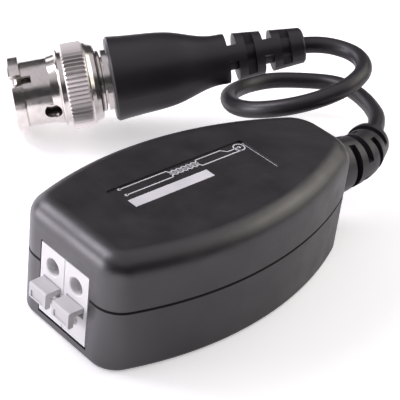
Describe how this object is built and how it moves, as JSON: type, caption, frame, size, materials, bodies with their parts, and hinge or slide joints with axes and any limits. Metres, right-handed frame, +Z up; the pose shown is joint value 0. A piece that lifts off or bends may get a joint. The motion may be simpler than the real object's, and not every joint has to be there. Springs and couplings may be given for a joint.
{
  "type": "cctv video balun",
  "caption": "Passive video balun: black two-half case with a two-way lever terminal block in front and a short looped coaxial cord from the rear to a moulded bayonet video plug.",
  "frame": {"origin": "centre of the case's flat underside, halfway along the case", "axes": "+Y from the terminal block to the cord's exit, +Z up through the label side, +X to the right seen from the terminal block"},
  "size_m": [0.0672, 0.0802, 0.0192],
  "materials": {
    "case_black": "fine satin texture",
    "terminal_white": "satin",
    "lever_grey": "satin",
    "soft_black": "satin",
    "nickel": "bright nickel plate",
    "screw_steel": "dark",
    "spring_steel": "bright",
    "tinned_copper": "tinned",
    "board_green": "satin",
    "ferrite": "matte",
    "enamelled_copper": "enamelled",
    "component_body": "lacquered",
    "lead_insulation": "satin",
    "insulator_white": "satin",
    "gold_contact": "gold plate",
    "gasket_rubber": "matte"
  },
  "bodies": {
    "case": {"upper_shell": "case_black", "lower_shell": "case_black", "case_screw_left": "screw_steel", "case_screw_right": "screw_steel", "terminal_block_body": "terminal_white", "clamp_spring_left": "spring_steel", "clamp_spring_right": "spring_steel", "contact_bar_left": "tinned_copper", "contact_bar_right": "tinned_copper", "circuit_board": "board_green", "transformer_core": "ferrite", "transformer_winding": "enamelled_copper", "surge_suppressor": "component_body", "matching_resistor": "component_body", "disc_capacitor": "component_body", "core_lead": "lead_insulation", "braid_lead": "tinned_copper", "cord_strain_relief": "soft_black", "signal_cord": "soft_black", "cord_end": "soft_black", "crimp_ferrule": "nickel", "plug_boot": "soft_black", "plug_body": "nickel", "plug_insulator": "insulator_white", "centre_pin": "gold_contact", "bayonet_gasket": "gasket_rubber", "wave_spring": "spring_steel", "retaining_ring": "nickel"},
    "lever_left": {"lever_left": "lever_grey"},
    "lever_right": {"lever_right": "lever_grey"},
    "nut_washer": {"slip_washer": "spring_steel"},
    "coupling_nut": {"coupling_sleeve": "nickel"}
  },
  "joints": [
    {"name": "lever_left_press", "type": "hinge", "parent": "case", "child": "lever_left", "pos_m": [-0.0025, -0.022, 0.00758], "axis": [1, 0, 0], "range_deg": [0, 15], "stiffness_Nm_per_rad": 0.02, "deforming": ["clamp_spring_left"]},
    {"name": "lever_right_press", "type": "hinge", "parent": "case", "child": "lever_right", "pos_m": [0.0025, -0.022, 0.00758], "axis": [1, 0, 0], "range_deg": [0, 15], "stiffness_Nm_per_rad": 0.02, "deforming": ["clamp_spring_right"]},
    {"name": "nut_slide", "type": "slide", "parent": "case", "child": "nut_washer", "axis": [-0.5092, -0.8365, -0.2023], "range_m": [0, 0.0006], "stiffness_N_per_m": 2000, "deforming": ["wave_spring"]},
    {"name": "nut_turn", "type": "hinge", "parent": "nut_washer", "child": "coupling_nut", "pos_m": [-0.04291, 0.01043, 0.00855], "axis": [0.5092, 0.8365, 0.2023], "continuous": true}
  ]
}
